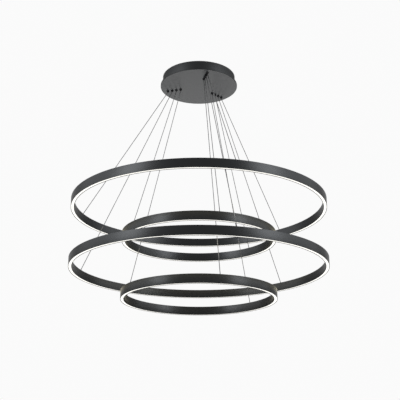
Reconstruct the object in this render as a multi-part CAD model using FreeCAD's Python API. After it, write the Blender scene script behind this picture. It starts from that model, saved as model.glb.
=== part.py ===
import FreeCAD, Part
import math
import os

# LED ring chandelier: four rings of light hang one below the other from a round ceiling canopy.
# Millimetres. The origin is the centre of the canopy's ceiling face, +Z points up, so all of the
# light lies below z = 0. +X is to the right and +Y is away from whoever looks at its front.

# Rings, from the highest to the lowest. A drop is the height from the ceiling to a ring's lower edge.
LARGE_RING_DIAMETER = 1000.0
SMALL_RING_DIAMETER = 600.0
RING_1_DROP = 585.0
RING_2_DROP = 707.0
RING_3_DROP = 822.0
RING_4_DROP = 938.0

# The rings' rolled aluminium extrusion: a wire chamber above a shelf, and a channel for the light below it
CHANNEL_HEIGHT = 34.0
CHANNEL_WIDTH = 13.5
CHANNEL_WALL = 1.8
CHANNEL_WEB = 2.0
SHELF_HEIGHT = 14.0
SHELF_THICKNESS = 1.6
JOINT_KEY_LENGTH = 70.0
JOINT_KEY_HEIGHT = 12.0

# What each channel carries
DIFFUSER_RECESS = 1.0
DIFFUSER_THICKNESS = 1.5
DIFFUSER_LEG_THICKNESS = 1.0
DIFFUSER_LEG_HEIGHT = 6.0
LED_BOARD_THICKNESS = 1.0
BUSH_DIAMETER = 5.0
BUSH_LENGTH = 9.0
BUSH_FLANGE_DIAMETER = 7.5
BUSH_FLANGE_THICKNESS = 0.8

# Suspension cables, three to a ring, in three rows
CABLE_DIAMETER = 2.5
CABLE_BEND_RADIUS = 7.5
FIRST_ROW_AZIMUTH = -75.2
ROWS = 3

# Cable grippers, four to a row, screwed through the canopy's face plate
GRIPPER_PITCH = 18.5
GRIPPER_WALL_DISTANCE = 13.0
COLLAR_DIAMETER = 11.0
COLLAR_HEIGHT = 3.0
COLLAR_CHAMFER = 0.6
SHANK_DIAMETER = 8.0
SHANK_LENGTH = 14.0
PLUNGER_HEAD_DIAMETER = 6.6
PLUNGER_HEAD_INSIDE = 1.8
PLUNGER_STEM_DIAMETER = 4.8
PLUNGER_STEM_LENGTH = 8.0
PLUNGER_PROJECTION = 2.4
PLUNGER_TRAVEL = 2.0
PLUNGER_BORE = 3.3
LOCKNUT_WIDTH = 12.0
LOCKNUT_HEIGHT = 4.0

# Canopy
CANOPY_HEIGHT = 42.0
DRUM_DIAMETER = 296.0
DRUM_WALL = 1.5
DRUM_FLANGE = 12.0
FACE_PLATE_OVERHANG = 9.0
FACE_PLATE_THICKNESS = 2.0
FACE_PLATE_RIM_HEIGHT = 6.0
FACE_PLATE_CHAMFER = 0.5
STUD_DIAMETER = 4.0
STUD_LENGTH = 8.0
STUD_NUT_WIDTH = 7.0
STUD_NUT_HEIGHT = 3.2
MOUNTING_PLATE_THICKNESS = 2.0
MOUNTING_RIM_HEIGHT = 12.0
CEILING_SCREW_CIRCLE = 240.0
CEILING_SCREW_HOLE = 5.5
SIDE_SCREW_DIAMETER = 4.0
SIDE_SCREW_LENGTH = 7.0
SIDE_SCREW_SOCKET = 2.0
SIDE_SCREW_SOCKET_DEPTH = 2.5
CABLE_ENTRY_DIAMETER = 18.0
GROMMET_BORE = 12.0
GROMMET_FLANGE = 3.0
GROMMET_FLANGE_THICKNESS = 1.5

# Driver boxes, mains terminal block and earth stud, under the mounting plate
DRIVER_LENGTH = 150.0
DRIVER_WIDTH = 42.0
DRIVER_HEIGHT = 27.0
DRIVER_FOOT_LENGTH = 12.0
DRIVER_FOOT_THICKNESS = 3.0
DRIVER_ROW_GAP = 18.0
PLATE_SCREW_DIAMETER = 4.0
PLATE_SCREW_HEAD_DIAMETER = 7.0
PLATE_SCREW_HEAD_HEIGHT = 2.6
TERMINAL_LENGTH = 36.0
TERMINAL_WIDTH = 18.0
TERMINAL_HEIGHT = 15.0
TERMINAL_RADIUS = 100.0
EARTH_STUD_RADIUS = 70.0

# Clearances
RUNNING_CLEARANCE = 0.05
BOARD_CLEARANCE = 0.2
HOLE_CLEARANCE = 0.15
SLIP_CLEARANCE = 0.4
SPRING_ROOM = 1.0

# Sizes that follow from those above
ROW_AZIMUTHS = [FIRST_ROW_AZIMUTH + 360.0 / ROWS * row for row in range(ROWS)]
SECTOR_AZIMUTHS = [azimuth + 180.0 / ROWS for azimuth in ROW_AZIMUTHS]
DRUM_RADIUS = DRUM_DIAMETER / 2
FACE_PLATE_RADIUS = DRUM_RADIUS + FACE_PLATE_OVERHANG
FACE_PLATE_BOTTOM = -CANOPY_HEIGHT
FACE_PLATE_TOP = FACE_PLATE_BOTTOM + FACE_PLATE_THICKNESS
MOUNTING_RIM_RADIUS = DRUM_RADIUS - DRUM_WALL - SLIP_CLEARANCE
MOUNTING_PLATE_BOTTOM = -MOUNTING_PLATE_THICKNESS
COLLAR_BOTTOM = FACE_PLATE_BOTTOM - COLLAR_HEIGHT
CABLE_MOUTH = COLLAR_BOTTOM - PLUNGER_PROJECTION
STUD_RADIUS = DRUM_RADIUS - DRUM_WALL - DRUM_FLANGE / 2
LOCKNUT_CORNER = LOCKNUT_WIDTH / math.sqrt(3)
UP = FreeCAD.Vector(0, 0, 1)
ORIGIN = FreeCAD.Vector(0, 0, 0)

# One row of values for each ring: its name, outer diameter, drop, and which gripper of a row holds it,
# counted outwards from the canopy's middle.
RINGS = [
    ("ring_1", LARGE_RING_DIAMETER, RING_1_DROP, 3),
    ("ring_2", SMALL_RING_DIAMETER, RING_2_DROP, 1),
    ("ring_3", LARGE_RING_DIAMETER, RING_3_DROP, 2),
    ("ring_4", SMALL_RING_DIAMETER, RING_4_DROP, 0),
]


def turned(points, sweep=360.0):
    """A solid of revolution about Z from a closed outline of (radius, z) points."""
    corners = [FreeCAD.Vector(radius, 0, z) for radius, z in points]
    face = Part.Face(Part.makePolygon(corners + corners[:1]))
    return face.revolve(ORIGIN, UP, sweep)


def cylinder(diameter, bottom, top):
    """A plain upright cylinder on the Z axis."""
    return Part.makeCylinder(diameter / 2, top - bottom, FreeCAD.Vector(0, 0, bottom))


def put(shape, radius, azimuth, across=0.0):
    """A copy of a shape carried out along +X by the radius, and across along +Y, then turned about Z."""
    copy = shape.copy()
    copy.translate(FreeCAD.Vector(radius, across, 0))
    copy.rotate(ORIGIN, UP, azimuth)
    return copy


def hexagon(width, bottom, height):
    """An upright hexagonal bar of the given width across its flats."""
    corner = width / math.sqrt(3)
    angles = [math.radians(60 * side) for side in range(6)]
    corners = [FreeCAD.Vector(corner * math.cos(a), corner * math.sin(a), bottom) for a in angles]
    face = Part.Face(Part.makePolygon(corners + corners[:1]))
    return face.extrude(FreeCAD.Vector(0, 0, height))


def nut(width, height, thread, bottom):
    """A hexagonal nut round a thread of the given diameter, standing on its seat."""
    bore = cylinder(thread + 2 * RUNNING_CLEARANCE, bottom - 1, bottom + height + 1)
    return hexagon(width, bottom, height).cut(bore)


def gripper_radius(step):
    """Distance of a row's gripper from the middle. The outermost stands just inside the drum's wall."""
    steps_inwards = len(RINGS) - 1 - step
    return DRUM_RADIUS - DRUM_WALL - GRIPPER_WALL_DISTANCE - GRIPPER_PITCH * steps_inwards


def gripper_places():
    """Radius and azimuth of each gripper, from the middle outwards in each row in turn."""
    return [
        (gripper_radius(step), azimuth)
        for azimuth in ROW_AZIMUTHS
        for step in range(len(RINGS))
    ]


# Canopy


def mounting_plate():
    """Pressed steel disc with a turned-down rim, screwed to the ceiling."""
    rim_inside = MOUNTING_RIM_RADIUS - MOUNTING_PLATE_THICKNESS
    hole = CABLE_ENTRY_DIAMETER / 2
    plate = turned([
        (hole, 0),
        (MOUNTING_RIM_RADIUS, 0),
        (MOUNTING_RIM_RADIUS, -MOUNTING_RIM_HEIGHT),
        (rim_inside, -MOUNTING_RIM_HEIGHT),
        (rim_inside, MOUNTING_PLATE_BOTTOM),
        (hole, MOUNTING_PLATE_BOTTOM),
    ])
    screw_hole = cylinder(CEILING_SCREW_HOLE, MOUNTING_PLATE_BOTTOM - 1, 1)
    for azimuth in ROW_AZIMUTHS:
        plate = plate.cut(put(screw_hole, CEILING_SCREW_CIRCLE / 2, azimuth))
    for azimuth in SECTOR_AZIMUTHS:
        plate = plate.cut(side_screw_hole(azimuth))
    tapped = cylinder(PLATE_SCREW_DIAMETER + 2 * RUNNING_CLEARANCE, MOUNTING_PLATE_BOTTOM - 1, 1)
    for x, y, azimuth in plate_screw_places():
        plate = plate.cut(put(tapped, x, azimuth, y))
    stud = cylinder(STUD_DIAMETER, MOUNTING_PLATE_BOTTOM - STUD_LENGTH, MOUNTING_PLATE_BOTTOM)
    return plate.fuse(put(stud, EARTH_STUD_RADIUS, SECTOR_AZIMUTHS[2]))


def laid_at_side(upright, azimuth):
    """An upright shape laid on its side through the drum and the mounting plate's rim.

    Its z = 0 comes to the drum's outside, and its +Z points outwards.
    """
    laid = upright.copy()
    laid.rotate(ORIGIN, FreeCAD.Vector(0, 1, 0), 90)
    laid.translate(FreeCAD.Vector(DRUM_RADIUS, 0, -MOUNTING_RIM_HEIGHT / 2))
    laid.rotate(ORIGIN, UP, azimuth)
    return laid


def side_screw_hole(azimuth):
    """What a side screw's hole takes out of the drum and the rim."""
    hole = cylinder(SIDE_SCREW_DIAMETER + 2 * RUNNING_CLEARANCE, -SIDE_SCREW_LENGTH, DRUM_WALL)
    return laid_at_side(hole, azimuth)


def side_screws():
    """Set screws with a hexagon socket, their outer ends flush with the drum."""
    socket = hexagon(SIDE_SCREW_SOCKET, -SIDE_SCREW_SOCKET_DEPTH, SIDE_SCREW_SOCKET_DEPTH + 1)
    screw = cylinder(SIDE_SCREW_DIAMETER, -SIDE_SCREW_LENGTH, 0).cut(socket)
    return Part.makeCompound([laid_at_side(screw, azimuth) for azimuth in SECTOR_AZIMUTHS])


def canopy_drum():
    """Rolled sheet wall with an inward flange at its foot, which the face plate is nutted to.

    The flange is cut back round the grippers' locknuts.
    """
    inside = DRUM_RADIUS - DRUM_WALL
    drum = turned([
        (DRUM_RADIUS, 0),
        (DRUM_RADIUS, FACE_PLATE_TOP),
        (inside - DRUM_FLANGE, FACE_PLATE_TOP),
        (inside - DRUM_FLANGE, FACE_PLATE_TOP + DRUM_WALL),
        (inside, FACE_PLATE_TOP + DRUM_WALL),
        (inside, 0),
    ])
    below = FACE_PLATE_TOP - 1
    above = FACE_PLATE_TOP + DRUM_WALL + 1
    stud_hole = cylinder(STUD_DIAMETER + 2 * HOLE_CLEARANCE, below, above)
    for azimuth in SECTOR_AZIMUTHS:
        drum = drum.cut(side_screw_hole(azimuth))
        drum = drum.cut(put(stud_hole, STUD_RADIUS, azimuth))
    nut_relief = cylinder(2 * (LOCKNUT_CORNER + SLIP_CLEARANCE), below, above)
    for radius, azimuth in gripper_places():
        drum = drum.cut(put(nut_relief, radius, azimuth))
    return drum


def face_plate():
    """Pressed disc with an upturned rim, the gripper holes and three studs welded on its upper side."""
    rim_top = FACE_PLATE_BOTTOM + FACE_PLATE_RIM_HEIGHT
    rim_inside = FACE_PLATE_RADIUS - FACE_PLATE_THICKNESS
    plate = turned([
        (0, FACE_PLATE_BOTTOM),
        (FACE_PLATE_RADIUS - FACE_PLATE_CHAMFER, FACE_PLATE_BOTTOM),
        (FACE_PLATE_RADIUS, FACE_PLATE_BOTTOM + FACE_PLATE_CHAMFER),
        (FACE_PLATE_RADIUS, rim_top),
        (rim_inside, rim_top),
        (rim_inside, FACE_PLATE_TOP),
        (0, FACE_PLATE_TOP),
    ])
    hole = cylinder(SHANK_DIAMETER + 2 * HOLE_CLEARANCE, FACE_PLATE_BOTTOM - 1, FACE_PLATE_TOP + 1)
    for radius, azimuth in gripper_places():
        plate = plate.cut(put(hole, radius, azimuth))
    stud = cylinder(STUD_DIAMETER, FACE_PLATE_TOP, FACE_PLATE_TOP + STUD_LENGTH)
    for azimuth in SECTOR_AZIMUTHS:
        plate = plate.fuse(put(stud, STUD_RADIUS, azimuth))
    return plate


def stud_nuts():
    """The nuts that hold the drum's flange down on the face plate."""
    one = nut(STUD_NUT_WIDTH, STUD_NUT_HEIGHT, STUD_DIAMETER, FACE_PLATE_TOP + DRUM_WALL)
    return Part.makeCompound([put(one, STUD_RADIUS, azimuth) for azimuth in SECTOR_AZIMUTHS])


def earth_nut():
    """The nut on the mounting plate's welded earth stud."""
    one = nut(STUD_NUT_WIDTH, STUD_NUT_HEIGHT, STUD_DIAMETER, MOUNTING_PLATE_BOTTOM - STUD_NUT_HEIGHT)
    return put(one, EARTH_STUD_RADIUS, SECTOR_AZIMUTHS[2])


def entry_grommet():
    """Rubber bush in the mounting plate's cable entry, with its flange below the plate."""
    bore = GROMMET_BORE / 2
    neck = CABLE_ENTRY_DIAMETER / 2 - RUNNING_CLEARANCE
    flange = neck + GROMMET_FLANGE
    flange_bottom = MOUNTING_PLATE_BOTTOM - GROMMET_FLANGE_THICKNESS
    return turned([
        (bore, 0),
        (neck, 0),
        (neck, MOUNTING_PLATE_BOTTOM),
        (flange, MOUNTING_PLATE_BOTTOM),
        (flange, flange_bottom),
        (bore, flange_bottom),
    ])


def driver_inner_side():
    """Distance of a driver's inner long side from the middle, clear of the rows of locknuts."""
    turn = math.radians(180.0 / ROWS)
    return (LOCKNUT_CORNER + DRIVER_ROW_GAP + DRIVER_LENGTH / 2 * math.cos(turn)) / math.sin(turn)


def driver_screw_offset():
    """How far a driver's screws stand to each side of its middle."""
    return (DRIVER_LENGTH - DRIVER_FOOT_LENGTH) / 2


def plate_screw_places():
    """Distance along, distance across and azimuth of each screw that holds a driver's foot."""
    return [
        (driver_inner_side() + DRIVER_WIDTH / 2, side * driver_screw_offset(), azimuth)
        for azimuth in SECTOR_AZIMUTHS[:2]
        for side in (-1, 1)
    ]


def plate_screws():
    """Pan-head screws up through the drivers' feet into the mounting plate."""
    foot_bottom = MOUNTING_PLATE_BOTTOM - DRIVER_FOOT_THICKNESS
    head = PLATE_SCREW_HEAD_DIAMETER / 2
    shank = PLATE_SCREW_DIAMETER / 2
    screw = turned([
        (0, foot_bottom - PLATE_SCREW_HEAD_HEIGHT),
        (head * 0.8, foot_bottom - PLATE_SCREW_HEAD_HEIGHT),
        (head, foot_bottom - PLATE_SCREW_HEAD_HEIGHT / 2),
        (head, foot_bottom),
        (shank, foot_bottom),
        (shank, 0),
        (0, 0),
    ])
    return Part.makeCompound([put(screw, x, azimuth, y) for x, y, azimuth in plate_screw_places()])


def led_driver(azimuth):
    """Sealed driver box with a slotted foot at each end, hung under the mounting plate."""
    half = DRIVER_LENGTH / 2
    inner = driver_inner_side()
    case = Part.makeBox(DRIVER_WIDTH, DRIVER_LENGTH - 2 * DRIVER_FOOT_LENGTH, DRIVER_HEIGHT)
    case.translate(FreeCAD.Vector(
        inner, DRIVER_FOOT_LENGTH - half, MOUNTING_PLATE_BOTTOM - DRIVER_HEIGHT))
    upright = [edge for edge in case.Edges if abs(edge.tangentAt(edge.FirstParameter).z) > 0.5]
    case = case.makeFillet(DRIVER_FOOT_THICKNESS, upright)
    feet = Part.makeBox(DRIVER_WIDTH, DRIVER_LENGTH, DRIVER_FOOT_THICKNESS)
    feet.translate(FreeCAD.Vector(inner, -half, MOUNTING_PLATE_BOTTOM - DRIVER_FOOT_THICKNESS))
    driver = case.fuse(feet)
    slot_width = PLATE_SCREW_DIAMETER + 2 * HOLE_CLEARANCE
    middle = inner + DRIVER_WIDTH / 2
    slot_end = cylinder(slot_width, MOUNTING_PLATE_BOTTOM - DRIVER_FOOT_THICKNESS - 1, 0)
    for side in (-1, 1):
        reach = driver_screw_offset()
        driver = driver.cut(put(slot_end, middle, 0.0, side * reach))
        slot = Part.makeBox(slot_width, DRIVER_FOOT_LENGTH, DRIVER_FOOT_THICKNESS + 2)
        slot.translate(FreeCAD.Vector(
            middle - slot_width / 2,
            min(side * reach, side * (reach + DRIVER_FOOT_LENGTH)),
            MOUNTING_PLATE_BOTTOM - DRIVER_FOOT_THICKNESS - 1))
        driver = driver.cut(slot)
    driver.rotate(ORIGIN, UP, azimuth)
    return driver.removeSplitter()


def terminal_block():
    """Three-pole mains terminal block: a moulded bar with a wire tunnel and a screw well to each pole."""
    pitch = TERMINAL_LENGTH / 3
    bottom = MOUNTING_PLATE_BOTTOM - TERMINAL_HEIGHT
    block = Part.makeBox(TERMINAL_WIDTH, TERMINAL_LENGTH, TERMINAL_HEIGHT)
    block.translate(FreeCAD.Vector(-TERMINAL_WIDTH / 2, -TERMINAL_LENGTH / 2, bottom))
    tunnel_side = pitch * 0.45
    tunnel_bottom = bottom + TERMINAL_HEIGHT * 0.4
    well = cylinder(tunnel_side, bottom - 1, tunnel_bottom + 1)
    for pole in (-1, 0, 1):
        tunnel = Part.makeBox(TERMINAL_WIDTH + 2, tunnel_side, tunnel_side)
        tunnel.translate(FreeCAD.Vector(
            -TERMINAL_WIDTH / 2 - 1, pole * pitch - tunnel_side / 2, tunnel_bottom))
        block = block.cut(tunnel)
        for side in (-1, 1):
            block = block.cut(put(well, side * TERMINAL_WIDTH / 4, 0.0, pole * pitch))
    return put(block, TERMINAL_RADIUS, SECTOR_AZIMUTHS[2])


# Grippers


def gripper_barrels():
    """Threaded barrels through the face plate, each with a collar below it and a stepped bore."""
    top = FACE_PLATE_BOTTOM + SHANK_LENGTH
    counterbore_top = COLLAR_BOTTOM + PLUNGER_HEAD_INSIDE + PLUNGER_TRAVEL + SPRING_ROOM
    collar = COLLAR_DIAMETER / 2
    shank = SHANK_DIAMETER / 2
    head = PLUNGER_HEAD_DIAMETER / 2 + RUNNING_CLEARANCE
    stem = PLUNGER_STEM_DIAMETER / 2 + RUNNING_CLEARANCE
    barrel = turned([
        (head, COLLAR_BOTTOM),
        (collar - COLLAR_CHAMFER, COLLAR_BOTTOM),
        (collar, COLLAR_BOTTOM + COLLAR_CHAMFER),
        (collar, FACE_PLATE_BOTTOM),
        (shank, FACE_PLATE_BOTTOM),
        (shank, top),
        (stem, top),
        (stem, counterbore_top),
        (head, counterbore_top),
    ])
    return Part.makeCompound([put(barrel, radius, azimuth) for radius, azimuth in gripper_places()])


def gripper_locknuts():
    """The nuts that clamp the barrels to the face plate from above."""
    one = nut(LOCKNUT_WIDTH, LOCKNUT_HEIGHT, SHANK_DIAMETER, FACE_PLATE_TOP)
    return Part.makeCompound([put(one, radius, azimuth) for radius, azimuth in gripper_places()])


def gripper_plunger(radius, azimuth):
    """Release plunger: pushed up, it lets the cable slide through its bore."""
    head_top = COLLAR_BOTTOM + PLUNGER_HEAD_INSIDE
    head = PLUNGER_HEAD_DIAMETER / 2
    stem = PLUNGER_STEM_DIAMETER / 2
    bore = PLUNGER_BORE / 2
    plunger = turned([
        (bore, CABLE_MOUTH),
        (head, CABLE_MOUTH),
        (head, head_top),
        (stem, head_top),
        (stem, head_top + PLUNGER_STEM_LENGTH),
        (bore, head_top + PLUNGER_STEM_LENGTH),
    ])
    return put(plunger, radius, azimuth)


# Cables


def cable(diameter, drop, radius, azimuth):
    """A taut cable: out of its gripper's mouth, round the mouth's edge, and straight to the ring's bush."""
    ring_top = CHANNEL_HEIGHT - drop + BUSH_FLANGE_THICKNESS
    end = diameter / 2 - CHANNEL_WIDTH / 2
    out = end - radius - CABLE_BEND_RADIUS
    fall = CABLE_MOUTH - ring_top
    turn = math.atan2(out, fall) + math.asin(CABLE_BEND_RADIUS / math.hypot(out, fall))
    start = FreeCAD.Vector(0, 0, CABLE_MOUTH + PLUNGER_PROJECTION)
    mouth = FreeCAD.Vector(0, 0, CABLE_MOUTH)
    bend = CABLE_BEND_RADIUS

    def on_bend(angle):
        return FreeCAD.Vector(bend * (1 - math.cos(angle)), 0, CABLE_MOUTH - bend * math.sin(angle))

    leaving = on_bend(turn)
    run = FreeCAD.Vector(math.sin(turn), 0, -math.cos(turn))
    past_web = (leaving.z - ring_top) / math.cos(turn) + CABLE_DIAMETER
    path = Part.Wire([
        Part.LineSegment(start, mouth).toShape(),
        Part.Arc(mouth, on_bend(turn / 2), leaving).toShape(),
        Part.LineSegment(leaving, leaving + run * past_web).toShape(),
    ])
    section = Part.Wire([Part.Circle(start, UP, CABLE_DIAMETER / 2).toShape()])
    tube = path.makePipeShell([section], True, False)
    room = 4 * CABLE_DIAMETER
    below = Part.makeBox(room, room, room)
    below.translate(FreeCAD.Vector(end - radius - room / 2, -room / 2, ring_top - room))
    return put(tube.cut(below), radius, azimuth)


# Rings


def ring_band(diameter, side_gap, bottom, top):
    """A plain band between the extrusion's two walls, with the given gap to each wall."""
    outer = diameter / 2 - CHANNEL_WALL - side_gap
    inner = diameter / 2 - CHANNEL_WIDTH + CHANNEL_WALL + side_gap
    return turned([(outer, bottom), (outer, top), (inner, top), (inner, bottom)])


def ring_channel(diameter, drop):
    """Extrusion rolled into a ring: two walls, a top web and a shelf, with a hole for each cable's bush."""
    outer = diameter / 2
    inner = outer - CHANNEL_WIDTH
    bottom = -drop
    top = bottom + CHANNEL_HEIGHT
    shelf = bottom + SHELF_HEIGHT
    channel = turned([
        (outer, bottom),
        (outer, top),
        (inner, top),
        (inner, bottom),
        (inner + CHANNEL_WALL, bottom),
        (inner + CHANNEL_WALL, shelf),
        (outer - CHANNEL_WALL, shelf),
        (outer - CHANNEL_WALL, bottom),
    ])
    channel = channel.cut(ring_band(diameter, 0.0, shelf + SHELF_THICKNESS, top - CHANNEL_WEB))
    hole = cylinder(BUSH_DIAMETER + 2 * RUNNING_CLEARANCE, top - CHANNEL_WEB - 1, top + 1)
    for azimuth in ROW_AZIMUTHS:
        channel = channel.cut(put(hole, outer - CHANNEL_WIDTH / 2, azimuth))
    return channel


def ring_diffuser(diameter, drop):
    """Opal cover, just above the walls' lower edges, whose two legs spring against the walls."""
    outer = diameter / 2 - CHANNEL_WALL - RUNNING_CLEARANCE
    inner = diameter / 2 - CHANNEL_WIDTH + CHANNEL_WALL + RUNNING_CLEARANCE
    bottom = DIFFUSER_RECESS - drop
    face_top = bottom + DIFFUSER_THICKNESS
    leg_top = bottom + DIFFUSER_LEG_HEIGHT
    return turned([
        (outer, bottom),
        (outer, leg_top),
        (outer - DIFFUSER_LEG_THICKNESS, leg_top),
        (outer - DIFFUSER_LEG_THICKNESS, face_top),
        (inner + DIFFUSER_LEG_THICKNESS, face_top),
        (inner + DIFFUSER_LEG_THICKNESS, leg_top),
        (inner, leg_top),
        (inner, bottom),
    ])


def ring_led_board(diameter, drop):
    """Metal-core board bonded under the extrusion's shelf, its light emitters facing down."""
    top = SHELF_HEIGHT - drop
    return ring_band(diameter, BOARD_CLEARANCE, top - LED_BOARD_THICKNESS, top)


def ring_bushes(diameter, drop):
    """Cable bushes: a flange on the top web, and a body down through it that grips the cable's end."""
    top = CHANNEL_HEIGHT - drop
    flange = BUSH_FLANGE_DIAMETER / 2
    body = BUSH_DIAMETER / 2
    bush = turned([
        (0, top + BUSH_FLANGE_THICKNESS),
        (flange, top + BUSH_FLANGE_THICKNESS),
        (flange, top),
        (body, top),
        (body, top - BUSH_LENGTH),
        (0, top - BUSH_LENGTH),
    ])
    middle = diameter / 2 - CHANNEL_WIDTH / 2
    return Part.makeCompound([put(bush, middle, azimuth) for azimuth in ROW_AZIMUTHS])


def ring_joint_key(diameter, drop):
    """Curved bar in the wire chamber, standing on the shelf, that joins the rolled extrusion's two ends."""
    outer = diameter / 2 - CHANNEL_WALL - RUNNING_CLEARANCE
    inner = diameter / 2 - CHANNEL_WIDTH + CHANNEL_WALL + RUNNING_CLEARANCE
    bottom = SHELF_HEIGHT + SHELF_THICKNESS - drop
    top = bottom + JOINT_KEY_HEIGHT
    sweep = math.degrees(2 * JOINT_KEY_LENGTH / diameter)
    key = turned([(outer, bottom), (outer, top), (inner, top), (inner, bottom)], sweep)
    key.rotate(ORIGIN, UP, SECTOR_AZIMUTHS[2] - sweep / 2)
    return key


nodes = {
    "mounting_plate": mounting_plate(),
    "entry_grommet": entry_grommet(),
    "canopy_drum": canopy_drum(),
    "side_screws": side_screws(),
    "face_plate": face_plate(),
    "stud_nuts": stud_nuts(),
    "led_driver_a": led_driver(SECTOR_AZIMUTHS[0]),
    "led_driver_b": led_driver(SECTOR_AZIMUTHS[1]),
    "plate_screws": plate_screws(),
    "terminal_block": terminal_block(),
    "earth_nut": earth_nut(),
    "gripper_barrels": gripper_barrels(),
    "gripper_locknuts": gripper_locknuts(),
}
for ring, ring_diameter, ring_drop, gripper_step in RINGS:
    nodes[ring + "_channel"] = ring_channel(ring_diameter, ring_drop)
    nodes[ring + "_diffuser"] = ring_diffuser(ring_diameter, ring_drop)
    nodes[ring + "_led_board"] = ring_led_board(ring_diameter, ring_drop)
    nodes[ring + "_bushes"] = ring_bushes(ring_diameter, ring_drop)
    nodes[ring + "_joint_key"] = ring_joint_key(ring_diameter, ring_drop)
    held_at = gripper_radius(gripper_step)
    for letter, row_azimuth in zip("abc", ROW_AZIMUTHS):
        nodes[ring + "_cable_" + letter] = cable(ring_diameter, ring_drop, held_at, row_azimuth)
        nodes[ring + "_plunger_" + letter] = gripper_plunger(held_at, row_azimuth)

os.makedirs("parts", exist_ok=True)
for node, shape in nodes.items():
    shape.exportStep("parts/" + node + ".step")
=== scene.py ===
import math

import bmesh
import bpy
import numpy as np
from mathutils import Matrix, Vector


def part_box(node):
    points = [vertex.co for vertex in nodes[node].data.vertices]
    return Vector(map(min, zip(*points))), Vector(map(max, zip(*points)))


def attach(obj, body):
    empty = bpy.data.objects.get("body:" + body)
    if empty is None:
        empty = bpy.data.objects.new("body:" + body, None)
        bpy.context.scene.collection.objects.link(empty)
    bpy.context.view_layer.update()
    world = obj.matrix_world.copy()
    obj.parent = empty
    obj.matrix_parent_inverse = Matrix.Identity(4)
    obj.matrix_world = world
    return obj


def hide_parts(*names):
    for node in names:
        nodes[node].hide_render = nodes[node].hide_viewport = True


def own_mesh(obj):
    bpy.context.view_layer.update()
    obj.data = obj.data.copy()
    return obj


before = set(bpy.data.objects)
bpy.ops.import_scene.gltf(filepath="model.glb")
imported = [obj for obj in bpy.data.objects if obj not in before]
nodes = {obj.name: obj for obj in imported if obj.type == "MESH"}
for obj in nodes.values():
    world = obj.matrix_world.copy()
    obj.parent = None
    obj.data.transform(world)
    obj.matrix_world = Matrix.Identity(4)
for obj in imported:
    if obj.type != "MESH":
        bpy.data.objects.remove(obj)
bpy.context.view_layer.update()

# Mounting plate. A disc of zinc-plated steel with a turned-down rim, screwed up to the ceiling. It
# carries everything else, and the drum hides it. Its cable entry is lined with a rubber grommet.


def linear(colour):
    """An sRGB hex colour as linear light: c/12.92 when dark, else ((c+0.055)/1.055)^2.4."""
    channels = np.array([int(colour[i:i + 2], 16) / 255 for i in (1, 3, 5)])
    light = np.where(channels <= 0.04045, channels / 12.92, ((channels + 0.055) / 1.055) ** 2.4)
    return (*light.tolist(), 1.0)


def add(tree, kind, links=None, **settings):
    """Adds a node: settings by attribute or socket name, and links as {socket: (node, output)}."""
    node = tree.nodes.new(kind)
    for name, value in settings.items():
        if hasattr(node, name):
            setattr(node, name, value)
        else:
            node.inputs[name.replace("_", " ")].default_value = value
    for socket, (source, output) in (links or {}).items():
        tree.links.new(source.outputs[output], node.inputs[socket])
    return node


def finish(name, colour, metallic, roughness, ior=1.5):
    """A new material with one Principled shader, and that shader's tree and node to work on."""
    material = bpy.data.materials.new(name)
    material.use_nodes = True
    shader = material.node_tree.nodes["Principled BSDF"]
    shader.inputs["Base Color"].default_value = linear(colour)
    shader.inputs["Metallic"].default_value = metallic
    shader.inputs["Roughness"].default_value = roughness
    shader.inputs["IOR"].default_value = ior
    return material, material.node_tree, shader


def wear(tree, shader, low, high, grain, depth):
    """Noise moves the roughness from low to high and lifts the surface.

    Its grain and its depth are in metres, and it is read at the piece's own coordinates.
    """
    place = add(tree, "ShaderNodeTexCoord")
    noise = add(tree, "ShaderNodeTexNoise", {"Vector": (place, "Object")},
                Scale=1 / grain, Detail=3.0)
    spread = add(tree, "ShaderNodeMapRange", {"Value": (noise, "Fac")},
                 From_Min=0.3, From_Max=0.7, To_Min=low, To_Max=high)
    bump = add(tree, "ShaderNodeBump", {"Height": (noise, "Fac")}, Strength=0.4, Distance=depth)
    tree.links.new(spread.outputs["Result"], shader.inputs["Roughness"])
    tree.links.new(bump.outputs["Normal"], shader.inputs["Normal"])


def dress(material, *pieces):
    """Gives pieces, or carried-over nodes named by their names, this one material."""
    for piece in pieces:
        target = nodes[piece] if isinstance(piece, str) else piece
        target.data.materials.clear()
        target.data.materials.append(material)


# Zinc plating is bright and a little milky, with spangles a few millimetres across.
SPANGLE = 0.004
zinc, tree, shader = finish("zinc_plated_steel", "#A9ABAC", 1.0, 0.35)
place = add(tree, "ShaderNodeTexCoord")
spangle = add(tree, "ShaderNodeTexVoronoi", {"Vector": (place, "Object")}, Scale=1 / SPANGLE)
patch = add(tree, "ShaderNodeMix", {"Factor": (spangle, "Distance")},
            data_type="RGBA", A=linear("#9EA0A2"), B=linear("#B6B8B8"))
tree.links.new(patch.outputs["Result"], shader.inputs["Base Color"])
wear(tree, shader, 0.28, 0.42, grain=0.006, depth=0.00002)
dress(zinc, "mounting_plate", "earth_nut", "plate_screws", "stud_nuts", "gripper_locknuts")

# Moulded rubber is near black, dull and faintly grained.
rubber, tree, shader = finish("moulded_rubber", "#1B1B1C", 0.0, 0.7, 1.52)
wear(tree, shader, 0.62, 0.78, grain=0.0006, depth=0.00003)
dress(rubber, "entry_grommet")

# Drivers and terminal block. Two potted LED drivers in white plastic cases are screwed under the
# mounting plate, and the mains supply ends in a moulded nylon block beside them. All are hidden.

# Moulded ABS has a fine spark-eroded grain, half a millimetre across.
case, tree, shader = finish("moulded_white_abs", "#E2E2DF", 0.0, 0.5, 1.54)
wear(tree, shader, 0.44, 0.56, grain=0.0005, depth=0.00004)
dress(case, "led_driver_a", "led_driver_b")

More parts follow.
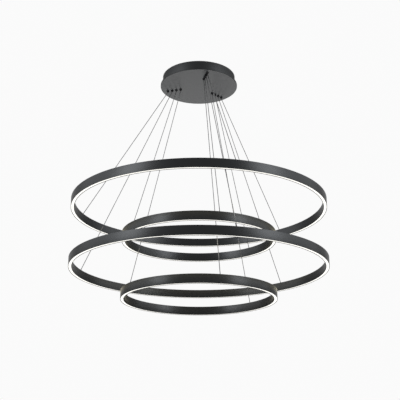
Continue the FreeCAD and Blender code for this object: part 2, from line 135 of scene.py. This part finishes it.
# Nylon is creamier and slightly translucent, so its edges glow a little.
nylon, tree, shader = finish("moulded_nylon", "#E6E2D6", 0.0, 0.42, 1.53)
shader.inputs["Subsurface Weight"].default_value = 0.15
shader.inputs["Subsurface Scale"].default_value = 0.002
wear(tree, shader, 0.38, 0.48, grain=0.001, depth=0.00002)
dress(nylon, "terminal_block")

# Drum. A strip of aluminium rolled into a wall, with an inward flange at its foot that is nutted
# to the face plate. It is anodised graphite, as the rings are. The flange is cut back round the
# locknuts.
DRUM_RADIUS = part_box("canopy_drum")[1][0]
DRUM_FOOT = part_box("canopy_drum")[0][2]
DRUM_WALL = 0.0015
DRUM_FLANGE = 0.012
DRUM_EDGE = 0.0003
LOCKNUT_ROOM = 0.00733
OUTER_GRIPPER = 0.1335
ROW_AZIMUTHS = np.radians([-75.2, 44.8, 164.8])


def round_corners(outline, radii, steps=4):
    """A closed outline whose corners are arcs.

    Each arc runs from one leg to the other on the quadratic curve (1-t)^2 P + 2t(1-t) C + t^2 Q,
    where C is the corner and P and Q lie one radius along the legs.
    """
    corner = np.array(outline, float)
    before = np.roll(corner, 1, axis=0) - corner
    after = np.roll(corner, -1, axis=0) - corner
    size = np.broadcast_to(np.array(radii, float), len(corner))[:, None]
    start = corner + before / np.linalg.norm(before, axis=1, keepdims=True) * size
    end = corner + after / np.linalg.norm(after, axis=1, keepdims=True) * size
    t = np.linspace(0, 1, steps + 1)[None, :, None]
    arc = (1 - t) ** 2 * start[:, None] + 2 * t * (1 - t) * corner[:, None] + t ** 2 * end[:, None]
    return arc.reshape(-1, 2)


def revolve(outline, azimuths):
    """Points (r cos a, r sin a, z) of an outline of (r, z), at each azimuth a."""
    radius, height = np.array(outline, float).T
    a = np.asarray(azimuths)[:, None]
    return np.stack([radius * np.cos(a), radius * np.sin(a), height + 0 * a], axis=-1)


def smooth_piece(name, mesh):
    """Merges a mesh's doubles, points its faces outwards, smooths it and makes its object."""
    shape = bmesh.new()
    shape.from_mesh(mesh)
    bmesh.ops.remove_doubles(shape, verts=shape.verts, dist=1e-7)
    bmesh.ops.recalc_face_normals(shape, faces=shape.faces)
    shape.to_mesh(mesh)
    shape.free()
    mesh.polygons.foreach_set("use_smooth", np.ones(len(mesh.polygons), bool))
    piece = bpy.data.objects.new(name, mesh)
    bpy.context.scene.collection.objects.link(piece)
    return piece


def solid(name, grids, closed=True):
    """One mesh object from grids of points (turns, outline, 3), whose rows and columns join up.

    The quad at row i and column j has the corners (i, j), (i+1, j), (i+1, j+1) and (i, j+1). With
    closed False the outline's two ends lie on the axis and meet in a pole instead of joining up.
    """
    points, faces, count = [], [], 0
    for grid in grids:
        rows, columns = grid.shape[:2]
        number = np.arange(rows * columns).reshape(rows, columns)
        along = np.roll(number, -1, axis=0)
        quads = np.stack([number, along, np.roll(along, -1, axis=1), np.roll(number, -1, axis=1)],
                         axis=-1)
        quads = quads if closed else quads[:, :-1]
        points.append(grid.reshape(-1, 3))
        faces.append(quads.reshape(-1, 4) + count)
        count += rows * columns
    mesh = bpy.data.meshes.new(name)
    mesh.from_pydata(np.concatenate(points).tolist(), [], np.concatenate(faces).tolist())
    return smooth_piece(name, mesh)


drum_outline = round_corners([
    (DRUM_RADIUS, DRUM_FOOT),
    (DRUM_RADIUS, 0.0),
    (DRUM_RADIUS - DRUM_WALL, 0.0),
    (DRUM_RADIUS - DRUM_WALL, DRUM_FOOT + DRUM_WALL),
    (DRUM_RADIUS - DRUM_WALL - DRUM_FLANGE, DRUM_FOOT + DRUM_WALL),
    (DRUM_RADIUS - DRUM_WALL - DRUM_FLANGE, DRUM_FOOT),
], DRUM_EDGE)
drum_turns = np.linspace(0, 2 * np.pi, 360, endpoint=False)
drum_grid = revolve(drum_outline, drum_turns)
# Inside each locknut's circle the flange's edge moves out to it:
# r = g cos d + sqrt(n^2 - (g sin d)^2), with g the nut's distance from the axis, n its room and d
# the angle from its row.
off_row = (drum_turns[:, None] - ROW_AZIMUTHS + np.pi) % (2 * np.pi) - np.pi
across = LOCKNUT_ROOM ** 2 - (OUTER_GRIPPER * np.sin(off_row)) ** 2
near = (across > 0) & (np.abs(off_row) < 1)
nut_edge = OUTER_GRIPPER * np.cos(off_row) + np.sqrt(np.maximum(across, 0))
relief = np.where(near, nut_edge, 0).max(axis=1)
reach = np.hypot(drum_grid[..., 0], drum_grid[..., 1])
on_flange = drum_grid[..., 2] < DRUM_FOOT + DRUM_WALL + DRUM_EDGE / 3
grown = np.where(on_flange, np.maximum(reach, relief[:, None]), reach) / reach
drum_grid[..., :2] *= grown[..., None]
drum = solid("drum", [drum_grid])

# Each side screw's hole goes right through the wall: a rod of points (x, p cos t, z + p sin t),
# with x along it and p its radius, turned about the drum's axis to the screw's azimuth.
SIDE_HOLE_RADIUS = 0.00205
SIDE_HOLE_HEIGHT = -0.006
SIDE_AZIMUTHS = ROW_AZIMUTHS + np.pi / 3
SHARP_EDGE = math.radians(40)
small_turns = np.linspace(0, 2 * np.pi, 48, endpoint=False)


def side_rod(azimuth):
    """The rod that a side screw's hole takes out of the drum."""
    ends = np.array([-2, -2, 1, 1]) * DRUM_WALL + DRUM_RADIUS
    width = np.array([0, 1, 1, 0]) * SIDE_HOLE_RADIUS
    x, y = np.broadcast_arrays(ends, width * np.cos(small_turns[:, None]))
    z = SIDE_HOLE_HEIGHT + width * np.sin(small_turns[:, None])
    c, s = math.cos(azimuth), math.sin(azimuth)
    return np.stack([x * c - y * s, x * s + y * c, z], axis=-1)


rods = solid("side_rods", [side_rod(azimuth) for azimuth in SIDE_AZIMUTHS], closed=False)
cut = drum.modifiers.new("side_holes", "BOOLEAN")
cut.object = rods
bored = drum.evaluated_get(bpy.context.evaluated_depsgraph_get())
bored = bpy.data.meshes.new_from_object(bored)
drum.modifiers.clear()
drum.data = bored
drum.data.set_sharp_from_angle(angle=SHARP_EDGE)
bpy.data.objects.remove(rods)

# Bead-blasted aluminium, anodised graphite: a dark metal, too matt for more than a soft shine.
blasted, tree, shader = finish("blasted_anodised_aluminium", "#28292A", 1.0, 0.52)
shader.inputs["Specular Tint"].default_value = linear("#CBCBCB")
wear(tree, shader, 0.49, 0.56, grain=0.0008, depth=0.00001)
dress(blasted, drum)
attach(drum, "canopy")
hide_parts("canopy_drum")

# Side screws. Three black set screws with hexagon sockets hold the drum on the mounting plate's
# rim. Their outer ends lie flush with the drum.

# Black oxide on steel is a thin oily blue-black, and stays dark even at a low angle.
oxide, tree, shader = finish("black_oxide_steel", "#343436", 1.0, 0.5)
shader.inputs["Specular Tint"].default_value = linear("#7F7F80")
wear(tree, shader, 0.45, 0.55, grain=0.0008, depth=0.00001)
dress(oxide, "side_screws")

# Face plate. A pressed aluminium disc with an upturned rim that overhangs the drum and closes it
# below. It is anodised as the drum is, and its underside alone is then powder coated. Three studs
# welded on its upper side go up through the drum's flange.

# Semi-gloss powder coat flows out to a fine orange peel, about a millimetre from bump to bump. It
# covers the faces that look straight down.
STRAIGHT_DOWN = -0.99
coat, tree, shader = finish("semi_gloss_powder_coat", "#3E4043", 0.0, 0.30, 1.58)
wear(tree, shader, 0.27, 0.33, grain=0.001, depth=0.00002)
dress(coat, "face_plate")
disc = nodes["face_plate"].data
disc.materials.append(blasted)
facing = np.empty(3 * len(disc.polygons))
disc.polygons.foreach_get("normal", facing)
disc.polygons.foreach_set("material_index", (facing[2::3] > STRAIGHT_DOWN).astype(int))

# Cable grippers. Twelve turned barrels with a collar below the face plate and a locknut above it,
# four to a row. The sprung plunger in each lets its cable go when it is pushed up.
GRIPPER_PITCH = 0.0185
GRIPPER_RADII = [OUTER_GRIPPER - GRIPPER_PITCH * step for step in (3, 2, 1, 0)]
COLLAR_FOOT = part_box("gripper_barrels")[0][2]
BARREL_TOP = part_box("gripper_barrels")[1][2]
PLATE_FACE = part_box("face_plate")[0][2]
COLLAR_RADIUS = 0.0055
COLLAR_CHAMFER = 0.0006
SHANK_RADIUS = 0.0040
HEAD_BORE = 0.00335
STEM_BORE = 0.00245
SPRING_ROOM = 0.0048
BARREL_EDGE = 0.0002
barrel = revolve(round_corners([
    (HEAD_BORE, COLLAR_FOOT),
    (COLLAR_RADIUS - COLLAR_CHAMFER, COLLAR_FOOT),
    (COLLAR_RADIUS, COLLAR_FOOT + COLLAR_CHAMFER),
    (COLLAR_RADIUS, PLATE_FACE),
    (SHANK_RADIUS, PLATE_FACE),
    (SHANK_RADIUS, BARREL_TOP),
    (STEM_BORE, BARREL_TOP),
    (STEM_BORE, COLLAR_FOOT + SPRING_ROOM),
    (HEAD_BORE, COLLAR_FOOT + SPRING_ROOM),
], BARREL_EDGE, 2), small_turns)


def stand_at(grid, radius, azimuth):
    """The grid, carried out along its azimuth: x + r cos a and y + r sin a."""
    return grid + np.array([radius * math.cos(azimuth), radius * math.sin(azimuth), 0.0])


barrels = solid("gripper_barrels_turned", [
    stand_at(barrel, radius, azimuth) for azimuth in ROW_AZIMUTHS for radius in GRIPPER_RADII])
dress(oxide, barrels)
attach(barrels, "canopy")
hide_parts("gripper_barrels")

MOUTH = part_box("ring_1_plunger_a")[0][2]
STEM_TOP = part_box("ring_1_plunger_a")[1][2]
HEAD_TOP = COLLAR_FOOT + 0.0018
HEAD_RADIUS = 0.0033
STEM_RADIUS = 0.0024
CABLE_BORE = 0.00165
PLUNGER_EDGE = 0.0003
plunger = revolve(round_corners([
    (CABLE_BORE, MOUTH),
    (HEAD_RADIUS, MOUTH),
    (HEAD_RADIUS, HEAD_TOP),
    (STEM_RADIUS, HEAD_TOP),
    (STEM_RADIUS, STEM_TOP),
    (CABLE_BORE, STEM_TOP),
], PLUNGER_EDGE, 3), small_turns)

# One row for each ring: its name, its radius, the height of its lower edge, and the gripper that
# holds it, counted outwards.
GRIPPER_STEPS = {"ring_1": 3, "ring_2": 1, "ring_3": 2, "ring_4": 0}
RINGS = [
    (ring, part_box(f"{ring}_channel")[1][0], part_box(f"{ring}_channel")[0][2], step)
    for ring, step in GRIPPER_STEPS.items()]
for ring, _, _, step in RINGS:
    for letter, azimuth in zip("abc", ROW_AZIMUTHS):
        pin = solid(f"{ring}_release_{letter}", [stand_at(plunger, GRIPPER_RADII[step], azimuth)])
        dress(oxide, pin)
        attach(pin, f"release_{ring[-1]}{letter}")
        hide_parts(f"{ring}_plunger_{letter}")

# Ring channels. One aluminium extrusion, rolled into four rings: a closed wire chamber over an
# open channel for the light. Satin graphite anodising. The two ends meet at a hairline joint.
CHANNEL_HEIGHT = 0.034
CHANNEL_WIDTH = 0.0135
CHANNEL_WALL = 0.0018
CHANNEL_WEB = 0.002
SHELF = 0.014
SHELF_THICKNESS = 0.0016
TOP_EDGE = 0.0003
LIP_EDGE = 0.0002
RING_STEPS = 480
JOINT_AZIMUTH = math.radians(224.5)
JOINT_DEPTH = 0.00015


def ring_turns(radius):
    """Azimuths round a ring, evenly spaced, with five more across the joint at set distances."""
    even = JOINT_AZIMUTH + 2 * np.pi * np.arange(1, RING_STEPS) / RING_STEPS
    close = JOINT_AZIMUTH + np.array([-0.0012, -0.0002, 0.0, 0.0002, 0.0012]) / radius
    return np.sort(np.concatenate([even, close]))


def channel_grids(radius, foot):
    """The extrusion's outside and its wire chamber, turned round the ring.

    At the joint, each outer face moves in by the joint's depth, towards the section's middle.
    """
    inner = radius - CHANNEL_WIDTH
    top = foot + CHANNEL_HEIGHT
    shelf = foot + SHELF
    outside = round_corners([
        (radius, foot), (radius, top), (inner, top), (inner, foot),
        (inner + CHANNEL_WALL, foot), (inner + CHANNEL_WALL, shelf),
        (radius - CHANNEL_WALL, shelf), (radius - CHANNEL_WALL, foot),
    ], [LIP_EDGE, TOP_EDGE, TOP_EDGE, LIP_EDGE, LIP_EDGE, LIP_EDGE, LIP_EDGE, LIP_EDGE], 3)
    chamber = [
        (radius - CHANNEL_WALL, shelf + SHELF_THICKNESS),
        (inner + CHANNEL_WALL, shelf + SHELF_THICKNESS),
        (inner + CHANNEL_WALL, top - CHANNEL_WEB),
        (radius - CHANNEL_WALL, top - CHANNEL_WEB),
    ]
    turns = ring_turns(radius)
    grid = revolve(outside, turns)
    at_joint = np.abs(turns - JOINT_AZIMUTH) < 1e-9
    middle = np.array([radius - CHANNEL_WIDTH / 2, foot + CHANNEL_HEIGHT / 2])
    on_outer_face = np.abs(outside - middle) > [0.006, 0.016]
    sunk = outside + np.sign(middle - outside) * JOINT_DEPTH * on_outer_face
    grid[at_joint] = revolve(sunk, turns[at_joint])
    return [grid, revolve(chamber, turns)]


# Satin anodised aluminium, dyed graphite: a dark metal with a soft, even shine.
graphite, tree, shader = finish("satin_anodised_aluminium", "#272829", 1.0, 0.34)
shader.inputs["Specular Tint"].default_value = linear("#CBCBCB")
wear(tree, shader, 0.31, 0.38, grain=0.002, depth=0.00001)

for ring, radius, foot, _ in RINGS:
    channel = solid(f"{ring}_extrusion", channel_grids(radius, foot))
    dress(graphite, channel)
    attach(channel, ring)
    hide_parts(f"{ring}_channel")

# Diffusers. Opal acrylic, extruded with two legs that snap up between the channel's walls, just
# above their lower edges. Lit from behind, it glows an even, slightly warm white.
DIFFUSER_RECESS = 0.001
DIFFUSER_THICKNESS = 0.0015
DIFFUSER_LEG = 0.001
DIFFUSER_LEG_HEIGHT = 0.006
DIFFUSER_EDGE = 0.0002
SIDE_GAP = 0.00005
GLOW_LAMPS = 12
GLOW_WIDTH = 0.1
GLOW_DROP = 0.002
GLOW_RADIANCE = 2.0
opal, tree, shader = finish("opal_acrylic", "#F4F3EE", 0.0, 0.35, 1.49)
shader.inputs["Emission Color"].default_value = linear("#FFFDF6")
shader.inputs["Emission Strength"].default_value = 0.8
wear(tree, shader, 0.32, 0.40, grain=0.0008, depth=0.00001)

for ring, radius, foot, _ in RINGS:
    outer = radius - CHANNEL_WALL - SIDE_GAP
    inner = radius - CHANNEL_WIDTH + CHANNEL_WALL + SIDE_GAP
    low = foot + DIFFUSER_RECESS
    face = low + DIFFUSER_THICKNESS
    leg = low + DIFFUSER_LEG_HEIGHT
    cover = solid(f"{ring}_cover", [revolve(round_corners([
        (outer, low), (outer, leg), (outer - DIFFUSER_LEG, leg), (outer - DIFFUSER_LEG, face),
        (inner + DIFFUSER_LEG, face), (inner + DIFFUSER_LEG, leg), (inner, leg), (inner, low),
    ], DIFFUSER_EDGE, 2), np.linspace(0, 2 * np.pi, RING_STEPS, endpoint=False))])
    dress(opal, cover)
    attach(cover, ring)
    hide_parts(f"{ring}_diffuser")
    # A circle of lamps under the cover lights the rings below it. Each is a chord of the ring, and
    # wider than the cover by as much as it is dimmer, because a narrow one shows as grain on satin
    # metal.
    middle = (outer + inner) / 2
    chord = 2 * middle * math.sin(math.pi / GLOW_LAMPS)
    glow = bpy.data.lights.new(f"{ring}_glow", "AREA")
    glow.shape = "RECTANGLE"
    glow.size = chord
    glow.size_y = GLOW_WIDTH
    glow.energy = GLOW_RADIANCE * math.pi * chord * GLOW_WIDTH
    glow.color = linear("#FFF5D2")[:3]
    for turn in np.linspace(0, 2 * np.pi, GLOW_LAMPS, endpoint=False):
        lamp = bpy.data.objects.new(f"{ring}_glow", glow)
        lamp.location = (middle * math.cos(turn), middle * math.sin(turn), foot - GLOW_DROP)
        lamp.rotation_euler = (0, 0, turn + math.pi / 2)
        lamp.parent = cover
        lamp.visible_camera = False
        bpy.context.scene.collection.objects.link(lamp)

# LED boards and joint keys. A white metal-core board is bonded under each channel's shelf, and a
# mill finish aluminium key in the wire chamber bridges the joint. The channel and the diffuser
# hide both.

# White solder mask is a glossy ink over copper.
mask, tree, shader = finish("white_solder_mask", "#ECECE8", 0.0, 0.3, 1.5)
wear(tree, shader, 0.26, 0.36, grain=0.003, depth=0.00001)
# Mill finish keeps the die's drawing lines and takes a soft grey shine.
mill, tree, shader = finish("mill_finish_aluminium", "#BFC1C3", 1.0, 0.4)
wear(tree, shader, 0.34, 0.46, grain=0.0015, depth=0.00002)
for ring, *_ in RINGS:
    dress(mask, f"{ring}_led_board")
    dress(mill, f"{ring}_joint_key")

# Cable bushes. A turned bush with a low flange stands in the top of each ring at each cable and
# grips the cable's end.
BUSH_RADIUS = 0.0025
BUSH_LENGTH = 0.009
FLANGE_RADIUS = 0.00375
FLANGE_HEIGHT = 0.0008

# Nickel plating is a warm, close-grained silver.
nickel, tree, shader = finish("nickel_plated_brass", "#A8A49C", 1.0, 0.28)
wear(tree, shader, 0.24, 0.34, grain=0.0008, depth=0.00001)
for ring, radius, foot, _ in RINGS:
    top = foot + CHANNEL_HEIGHT
    bush = revolve([
        (0, top + FLANGE_HEIGHT),
        (FLANGE_RADIUS - 0.00045, top + FLANGE_HEIGHT),
        (FLANGE_RADIUS - 0.00015, top + FLANGE_HEIGHT - 0.0001),
        (FLANGE_RADIUS, top + FLANGE_HEIGHT - 0.0004),
        (FLANGE_RADIUS, top),
        (BUSH_RADIUS, top),
        (BUSH_RADIUS, top - BUSH_LENGTH),
        (0, top - BUSH_LENGTH),
    ], small_turns)
    bushes = solid(f"{ring}_cable_bushes", [
        stand_at(bush, radius - CHANNEL_WIDTH / 2, azimuth) for azimuth in ROW_AZIMUTHS],
        closed=False)
    dress(nickel, bushes)
    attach(bushes, ring)
    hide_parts(f"{ring}_bushes")

# Cables. Three 2.5 mm steel cables hold each ring, taut from the grippers to the bushes. Each is a
# stranded core in a clear sheath. When its ring is lifted, the surplus slides up into the canopy.
CABLE_RADIUS = 0.00125
CABLE_SIDES = 16
STRANDS = 6
STRAND_LAY = 0.012

# Six strands make one turn in each lay, and show through the sheath as a fine slanting twist. It
# is drawn from the tube's own length and girth. A diagonal wave repeats after a tenth of a full
# circle.
sheath, tree, shader = finish("sheathed_steel_strand", "#4C4C4D", 0.8, 0.4)
WAVES = STRANDS * math.tau / 10
run = add(tree, "ShaderNodeUVMap", uv_map="run")
slant = add(tree, "ShaderNodeMapping", {"Vector": (run, "UV")},
            Scale=(WAVES / STRAND_LAY, WAVES / (math.tau * CABLE_RADIUS), 1.0))
twist = add(tree, "ShaderNodeTexWave", {"Vector": (slant, "Vector")},
            bands_direction="DIAGONAL", Scale=1.0)
tone = add(tree, "ShaderNodeMix", {"Factor": (twist, "Fac")},
           data_type="RGBA", A=linear("#3B3B3C"), B=linear("#5A5A5B"))
lay = add(tree, "ShaderNodeBump", {"Height": (twist, "Fac")}, Strength=0.5, Distance=0.0001)
tree.links.new(tone.outputs["Result"], shader.inputs["Base Color"])
tree.links.new(lay.outputs["Normal"], shader.inputs["Normal"])

# Each route, as (distance from the axis, height): the bore, the mouth, a point six diameters on,
# and the bush's flange, with 0.05 mm to spare.
ROUTES = {
    "ring_1": ((0.1335, -0.0450), (0.1335, -0.0474), (0.1422, -0.0596), (0.49325, -0.55015)),
    "ring_2": ((0.0965, -0.0450), (0.0965, -0.0474), (0.1010, -0.0617), (0.29325, -0.67215)),
    "ring_3": ((0.1150, -0.0450), (0.1150, -0.0474), (0.1218, -0.0608), (0.49325, -0.78715)),
    "ring_4": ((0.0780, -0.0450), (0.0780, -0.0474), (0.0817, -0.0619), (0.29325, -0.90315)),
}


def spline_points(route, azimuth):
    """Points along the smooth NURBS line whose control points are the route, at an azimuth."""
    curve = bpy.data.curves.new("route", "CURVE")
    curve.dimensions = "3D"
    spline = curve.splines.new("NURBS")
    spline.points.add(len(route) - 1)
    corners = [(r * math.cos(azimuth), r * math.sin(azimuth), z, 1.0) for r, z in route]
    spline.points.foreach_set("co", np.array(corners).ravel())
    spline.order_u = 3
    spline.use_endpoint_u = True
    holder = bpy.data.objects.new("route", curve)
    bpy.context.scene.collection.objects.link(holder)
    line = bpy.data.meshes.new_from_object(holder)
    points = np.empty(3 * len(line.vertices))
    line.vertices.foreach_get("co", points)
    bpy.data.objects.remove(holder)
    bpy.data.curves.remove(curve)
    bpy.data.meshes.remove(line)
    return points.reshape(-1, 3)


def tube(name, path, azimuth):
    """A cable round a path that lies in one upright plane.

    Each ring of points is P + radius (cos f N + sin f B): B is level and square to the plane, and
    N is B x T, with T the path's direction. At both ends the points slide along T until the end is
    level. Its UV map holds length and girth in metres.
    """
    direction = np.gradient(path, axis=0)
    direction /= np.linalg.norm(direction, axis=1, keepdims=True)
    level = np.array([-math.sin(azimuth), math.cos(azimuth), 0.0])
    upward = np.cross(level, direction)
    f = np.linspace(0, 2 * np.pi, CABLE_SIDES + 1)
    around = np.cos(f)[:, None] * upward[:, None] + np.sin(f)[:, None] * level
    wall = path[:, None] + CABLE_RADIUS * around
    for end in (0, -1):
        slide = (path[end, 2] - wall[end, :, 2]) / direction[end, 2]
        wall[end] += slide[:, None] * direction[end]
    number = np.arange(len(path) * len(f)).reshape(len(path), len(f))
    quads = np.stack([number[:-1, :-1], number[:-1, 1:], number[1:, 1:], number[1:, :-1]], axis=-1)
    caps = [number[0, :-1][::-1].tolist(), number[-1, :-1].tolist()]
    mesh = bpy.data.meshes.new(name)
    mesh.from_pydata(wall.reshape(-1, 3).tolist(), [], quads.reshape(-1, 4).tolist() + caps)
    steps = np.linalg.norm(np.diff(path, axis=0), axis=1)
    length = np.concatenate([[0.0], np.cumsum(steps)])
    sheet = np.stack(np.broadcast_arrays(length[:, None], CABLE_RADIUS * f), axis=-1)
    corner = np.empty(len(mesh.loops), int)
    mesh.loops.foreach_get("vertex_index", corner)
    layer = mesh.uv_layers.new(name="run")
    layer.data.foreach_set("uv", sheet.reshape(-1, 2)[corner].ravel())
    return smooth_piece(name, mesh)


for ring, *_ in RINGS:
    route = ROUTES[ring]
    for letter, azimuth in zip("abc", ROW_AZIMUTHS):
        path = spline_points(route, azimuth)
        wire = tube(f"{ring}_suspension_{letter}", path, azimuth)
        dress(sheath, wire)
        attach(wire, "canopy")
        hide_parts(f"{ring}_cable_{letter}")
        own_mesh(wire)

# Room. A pale floor well below the light, a white surround, and soft lamps to the front and sides.
# The rays that show things see the floor and the surround paler than the rays that light them, and
# far off the floor fades into the surround.
FLOOR = -3.4
FLOOR_REACH = 9
FADE_START = 3.0


def shown_level(tree, low, high):
    """A node whose Result is high for camera, glossy and transmission rays, and low for others."""
    seen = add(tree, "ShaderNodeLightPath")
    either = add(tree, "ShaderNodeMath", {0: (seen, "Is Camera Ray"), 1: (seen, "Is Glossy Ray")},
                 operation="MAXIMUM")
    shown = add(tree, "ShaderNodeMath", {0: (either, 0), 1: (seen, "Is Transmission Ray")},
                operation="MAXIMUM")
    return add(tree, "ShaderNodeMapRange", {"Value": (shown, 0)}, To_Min=low, To_Max=high)


floor_grid = bpy.data.meshes.new("floor")
floor_grid.from_pydata(
    [(x * FLOOR_REACH, y * FLOOR_REACH, FLOOR) for x, y in ((-1, -1), (1, -1), (1, 1), (-1, 1))],
    [], [(0, 1, 2, 3)])
floor = bpy.data.objects.new("floor", floor_grid)
bpy.context.scene.collection.objects.link(floor)
plaster, tree, shader = finish("pale_floor", "#DDDDDB", 0.0, 0.9)
shader.inputs["Emission Color"].default_value = linear("#FFFFFF")
place = add(tree, "ShaderNodeTexCoord")
distance = add(tree, "ShaderNodeVectorMath", {"Vector": (place, "Object")}, operation="LENGTH")
fade = add(tree, "ShaderNodeMapRange", {"Value": (distance, "Value")},
           interpolation_type="SMOOTHSTEP",
           From_Min=FADE_START, From_Max=float(FLOOR_REACH), To_Min=0.28, To_Max=0.72)
paler = add(tree, "ShaderNodeMath",
            {0: (shown_level(tree, 0.0, 1.0), "Result"), 1: (fade, "Result")},
            operation="MULTIPLY")
tree.links.new(paler.outputs["Value"], shader.inputs["Emission Strength"])
floor.data.materials.append(plaster)

world = bpy.data.worlds.new("surround")
bpy.context.scene.world = world
world.use_nodes = True
tree = world.node_tree
background = tree.nodes["Background"]
background.inputs["Color"].default_value = linear("#FFFFFF")
tree.links.new(shown_level(tree, 0.3, 0.96).outputs["Result"], background.inputs["Strength"])

LAMP_DISTANCE = 4
LAMP_HEIGHT = 0.8
LAMP_TALL = 2.4
LAMP_AIM = (0, 0, -0.6)
for name, azimuth, width, energy in (
        ("key_left", -146.5, 1.6, 114), ("key_right", -33, 1.6, 110),
        ("side_left", 178, 3.9, 79), ("side_right", 2, 3.9, 79)):
    data = bpy.data.lights.new(name, "AREA")
    data.shape = "RECTANGLE"
    data.size = width
    data.size_y = LAMP_TALL
    data.energy = energy
    lamp = bpy.data.objects.new(name, data)
    lamp.location = (LAMP_DISTANCE * math.cos(math.radians(azimuth)),
                     LAMP_DISTANCE * math.sin(math.radians(azimuth)), LAMP_HEIGHT)
    toward = np.array(LAMP_AIM) - np.array(lamp.location)
    lamp.rotation_euler = (
        math.atan2(math.hypot(toward[0], toward[1]), -toward[2]), 0,
        math.atan2(toward[1], toward[0]) - math.pi / 2)
    lamp.visible_camera = False
    bpy.context.scene.collection.objects.link(lamp)

# Camera. It stands in front of the light and below its rings, and looks up at it by 16 degrees.
camera_data = bpy.data.cameras.new("camera")
camera_data.sensor_width = 36
camera_data.lens = 74.813
camera_data.shift_x = 0.0029
camera_data.shift_y = 0.100
camera = bpy.data.objects.new("camera", camera_data)
camera.location = (0, -3.1204, -1.5936)
camera.rotation_euler = (math.radians(106.033), 0, 0)
bpy.context.scene.collection.objects.link(camera)
bpy.context.scene.camera = camera
bpy.context.scene.view_settings.view_transform = "Standard"
